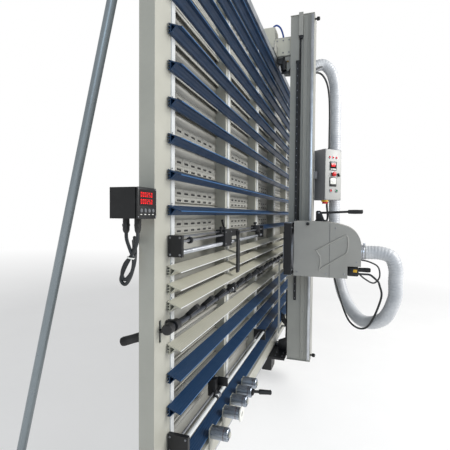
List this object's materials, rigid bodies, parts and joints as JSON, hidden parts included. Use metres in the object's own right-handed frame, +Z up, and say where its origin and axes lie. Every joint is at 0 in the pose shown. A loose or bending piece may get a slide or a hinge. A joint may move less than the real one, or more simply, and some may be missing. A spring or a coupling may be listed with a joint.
{
  "type": "vertical panel saw",
  "caption": "Vertical panel saw: a leaning slatted frame carries sheets on rollers while a vertical beam runs along it with a turning, plunging saw head",
  "frame": {"origin": "On the floor below the back plane of the slats, level with the left-hand ends of the slats.", "axes": "+X runs along the frame to the right, +Y points to the back, +Z is up; the operator stands on the -Y side and the frame leans back 5 degrees."},
  "size_m": [4.553, 1.7231, 3.0087],
  "materials": {
    "frame_grey": "satin",
    "strip_white": "satin",
    "pan_grey": "satin",
    "slat_blue": "satin",
    "slat_beige": "satin",
    "aluminium": "extruded",
    "black_metal": "powder coated",
    "steel": "machined",
    "zinc": "turned",
    "roller_grey": "turned",
    "plastic_black": "moulded",
    "column_grey": "satin",
    "head_grey": "textured",
    "box_grey": "satin",
    "red": "gloss",
    "green": "gloss",
    "hose_grey": "ribbed",
    "cable_black": "matte",
    "lever_black": "moulded"
  },
  "bodies": {
    "frame": {"end_posts": "frame_grey", "inner_posts": "frame_grey", "post_strips": "strip_white", "cross_beams": "frame_grey", "back_panels": "pan_grey", "floor_feet": "frame_grey", "rear_struts": "frame_grey", "blue_slats": "slat_blue", "grey_slats": "slat_beige", "beam_rails": "aluminium", "roller_axles": "frame_grey", "stop_rail_brackets": "black_metal", "stop_rods": "steel", "shaft_bearings": "black_metal", "readout_case": "plastic_black"},
    "roller_1": {"support_roller_1": "roller_grey"},
    "roller_2": {"support_roller_2": "roller_grey"},
    "roller_3": {"support_roller_3": "roller_grey"},
    "roller_4": {"support_roller_4": "roller_grey"},
    "roller_5": {"support_roller_5": "roller_grey"},
    "middle_support": {"support_shaft": "steel", "support_fingers": "black_metal", "support_lever": "black_metal"},
    "upper_stop": {"upper_stop_carriage": "black_metal"},
    "stop_flag": {"upper_stop_flag": "black_metal"},
    "stop_clamp": {"upper_stop_lever": "plastic_black"},
    "lower_stop": {"lower_stop_carriage": "black_metal"},
    "saw_beam": {"beam_column": "column_grey", "column_rail": "black_metal", "top_carriage": "column_grey", "bottom_carriage": "column_grey", "control_box": "box_grey", "hose_collar": "steel", "exhaust_hose": "hose_grey", "head_cables": "cable_black", "counter_belt": "cable_black"},
    "left_wheel": {"top_wheel_left": "zinc"},
    "right_wheel": {"top_wheel_right": "zinc"},
    "guide_wheel": {"bottom_wheel": "zinc"},
    "estop": {"estop_button": "red"},
    "start": {"start_button": "green"},
    "stop": {"stop_button": "red"},
    "selector": {"selector_switch": "plastic_black"},
    "power_switch": {"main_switch": "red"},
    "carriage": {"head_carriage": "black_metal"},
    "turret": {"turret_ring": "steel", "blade_cover": "head_grey", "motor_cover": "head_grey", "exhaust_port": "steel", "hand_grip": "plastic_black"},
    "turn_handle": {"turn_lever": "lever_black"},
    "index_pin": {"index_knob": "steel"},
    "shoe": {"blade_shoe": "column_grey"},
    "saw_unit": {"saw_arm": "steel", "saw_motor": "column_grey", "drive_belt": "cable_black"},
    "arbor": {"blade_spindle": "steel", "saw_blade": "steel"},
    "motor_rotor": {"motor_pulley": "steel"}
  },
  "joints": [
    {"name": "beam_travel", "type": "slide", "parent": "frame", "child": "saw_beam", "axis": [1, 0, 0], "range_m": [-1.45, 2.2]},
    {"name": "roller_1_spin", "type": "hinge", "parent": "frame", "child": "roller_1", "pos_m": [0.3, -0.0736, 0.39793], "axis": [0, -0.9962, 0.0872], "continuous": true},
    {"name": "roller_2_spin", "type": "hinge", "parent": "frame", "child": "roller_2", "pos_m": [0.485, -0.0736, 0.39793], "axis": [0, -0.9962, 0.0872], "continuous": true},
    {"name": "roller_3_spin", "type": "hinge", "parent": "frame", "child": "roller_3", "pos_m": [0.612, -0.0736, 0.39793], "axis": [0, -0.9962, 0.0872], "continuous": true},
    {"name": "roller_4_spin", "type": "hinge", "parent": "frame", "child": "roller_4", "pos_m": [0.718, -0.0736, 0.39793], "axis": [0, -0.9962, 0.0872], "continuous": true},
    {"name": "roller_5_spin", "type": "hinge", "parent": "frame", "child": "roller_5", "pos_m": [0.828, -0.0736, 0.39793], "axis": [0, -0.9962, 0.0872], "continuous": true},
    {"name": "support_swing", "type": "hinge", "parent": "frame", "child": "middle_support", "pos_m": [0, 0.05422, 0.96394], "axis": [1, 0, 0], "range_deg": [-10, 42]},
    {"name": "upper_stop_travel", "type": "slide", "parent": "frame", "child": "upper_stop", "axis": [1, 0, 0], "range_m": [-0.36, 0.44]},
    {"name": "flag_swing", "type": "hinge", "parent": "upper_stop", "child": "stop_flag", "pos_m": [0.71, 0.05144, 1.27637], "axis": [0, -0.9962, 0.0872], "range_deg": [0, 90]},
    {"name": "clamp_turn", "type": "hinge", "parent": "upper_stop", "child": "stop_clamp", "pos_m": [0.545, 0.07861, 1.3001], "axis": [0, 0.0872, 0.9962], "range_deg": [0, 120]},
    {"name": "lower_stop_travel", "type": "slide", "parent": "frame", "child": "lower_stop", "axis": [1, 0, 0], "range_m": [-0.33, 0.85]},
    {"name": "left_wheel_roll", "type": "hinge", "parent": "saw_beam", "child": "left_wheel", "pos_m": [1.7, 0.19132, 2.69162], "axis": [0, -0.9962, 0.0872], "continuous": true},
    {"name": "right_wheel_roll", "type": "hinge", "parent": "saw_beam", "child": "right_wheel", "pos_m": [2.04, 0.19132, 2.69162], "axis": [0, -0.9962, 0.0872], "continuous": true},
    {"name": "guide_wheel_roll", "type": "hinge", "parent": "saw_beam", "child": "guide_wheel", "pos_m": [1.93, -0.04999, 0.25533], "axis": [0, 0.0872, 0.9962], "continuous": true},
    {"name": "head_lift", "type": "slide", "parent": "saw_beam", "child": "carriage", "axis": [0, 0.0872, 0.9962], "range_m": [-0.68, 1.4], "deforming": ["exhaust_hose", "head_cables", "counter_belt"]},
    {"name": "head_turn", "type": "hinge", "parent": "carriage", "child": "turret", "pos_m": [1.5, -0.14147, 1.13665], "axis": [0, -0.9962, 0.0872], "range_deg": [0, 90]},
    {"name": "blade_plunge", "type": "slide", "parent": "turret", "child": "saw_unit", "axis": [0, 0.9962, -0.0872], "range_m": [0, 0.168]},
    {"name": "shoe_travel", "type": "slide", "parent": "turret", "child": "shoe", "axis": [0, 0.9962, -0.0872], "range_m": [0, 0.0692]},
    {"name": "blade_spin", "type": "hinge", "parent": "saw_unit", "child": "arbor", "pos_m": [1.472, -0.25105, 1.14624], "axis": [1, 0, 0], "continuous": true},
    {"name": "motor_spin", "type": "hinge", "parent": "saw_unit", "child": "motor_rotor", "pos_m": [1.5, -0.5001, 1.16803], "axis": [1, 0, 0], "continuous": true},
    {"name": "turn_lever_lift", "type": "hinge", "parent": "turret", "child": "turn_handle", "pos_m": [1.5, -0.31674, 1.42804], "axis": [1, 0, 0], "range_deg": [-25, 0]},
    {"name": "index_pull", "type": "slide", "parent": "turret", "child": "index_pin", "axis": [-1, 0, 0], "range_m": [0, 0.008]},
    {"name": "estop_press", "type": "slide", "parent": "saw_beam", "child": "estop", "axis": [0.7071, 0.7044, -0.0616], "range_m": [0, 0.005]},
    {"name": "start_press", "type": "slide", "parent": "saw_beam", "child": "start", "axis": [0.7071, 0.7044, -0.0616], "range_m": [0, 0.004]},
    {"name": "stop_press", "type": "slide", "parent": "saw_beam", "child": "stop", "axis": [0.7071, 0.7044, -0.0616], "range_m": [0, 0.004]},
    {"name": "selector_turn", "type": "hinge", "parent": "saw_beam", "child": "selector", "pos_m": [1.94758, -0.40226, 1.75373], "axis": [-0.7071, -0.7044, 0.0616], "range_deg": [-45, 45]},
    {"name": "power_turn", "type": "hinge", "parent": "saw_beam", "child": "power_switch", "pos_m": [1.89243, -0.32327, 1.53702], "axis": [0, 0.0872, 0.9962], "range_deg": [0, 90]}
  ],
  "couplings": [
    {"joint": "left_wheel_roll", "follows": "beam_travel", "rad_per_m": -45.455},
    {"joint": "right_wheel_roll", "follows": "beam_travel", "rad_per_m": -45.455},
    {"joint": "guide_wheel_roll", "follows": "beam_travel", "rad_per_m": 45.455},
    {"joint": "shoe_travel", "follows": "blade_plunge", "ratio": 0.4118},
    {"joint": "motor_spin", "follows": "blade_spin", "ratio": 0.6087}
  ]
}
